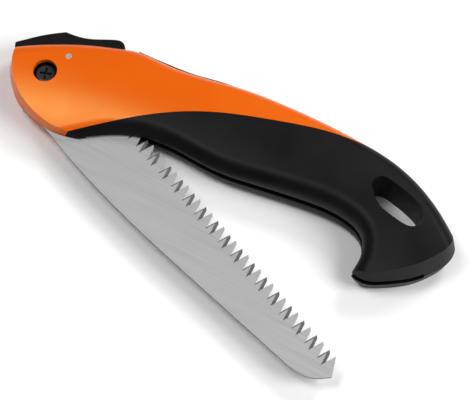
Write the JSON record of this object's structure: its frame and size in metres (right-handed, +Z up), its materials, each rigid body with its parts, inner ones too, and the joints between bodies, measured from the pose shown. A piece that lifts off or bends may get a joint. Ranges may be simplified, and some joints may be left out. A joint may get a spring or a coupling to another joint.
{
  "type": "folding pruning saw",
  "caption": "Hand saw whose toothed blade folds into a two-colour moulded handle with a thumb lock lever and a hooked butt with a hanging hole.",
  "frame": {"origin": "under the middle of the half-open saw, on the surface it lies on", "axes": "+X from the head to the butt of the handle, +Y from the finger side to the back, +Z up out of the near face, parallel to the blade pivot"},
  "size_m": [0.2212, 0.1079, 0.0224],
  "materials": {
    "orange_plastic": "satin moulded",
    "soft_grip": "satin overmoulded elastomer",
    "frame_plastic": "moulded, glass filled",
    "lever_plastic": "satin moulded",
    "blade_steel": "fine ground, hard plated",
    "plain_steel": "zinc plated",
    "dark_steel": "black oxide"
  },
  "bodies": {
    "handle": {"near_frame": "frame_plastic", "far_frame": "frame_plastic", "near_cover": "orange_plastic", "far_cover": "orange_plastic", "near_grip": "soft_grip", "far_grip": "soft_grip", "back_spacer": "frame_plastic", "shell_screws": "dark_steel", "pivot_screw": "dark_steel", "pivot_nut": "plain_steel", "nut_washer": "plain_steel", "pivot_bush": "plain_steel", "near_washer": "plain_steel", "far_washer": "plain_steel", "lever_pin": "plain_steel", "lever_spring": "plain_steel"},
    "blade": {"saw_blade": "blade_steel"},
    "lever": {"lock_lever": "lever_plastic", "lock_pawl": "plain_steel", "pawl_pin": "plain_steel"}
  },
  "joints": [
    {"name": "blade_fold", "type": "hinge", "parent": "handle", "child": "blade", "pos_m": [-0.08875, 0.01425, 0.0102], "axis": [0, 0, 1], "range_deg": [-160, 18.5]},
    {"name": "lever_press", "type": "hinge", "parent": "handle", "child": "lever", "pos_m": [-0.08315, 0.02555, 0.0102], "axis": [0, 0, -1], "range_deg": [0, 8], "stiffness_Nm_per_rad": 0.5, "springref_deg": -5.73, "deforming": ["lever_spring"]}
  ]
}
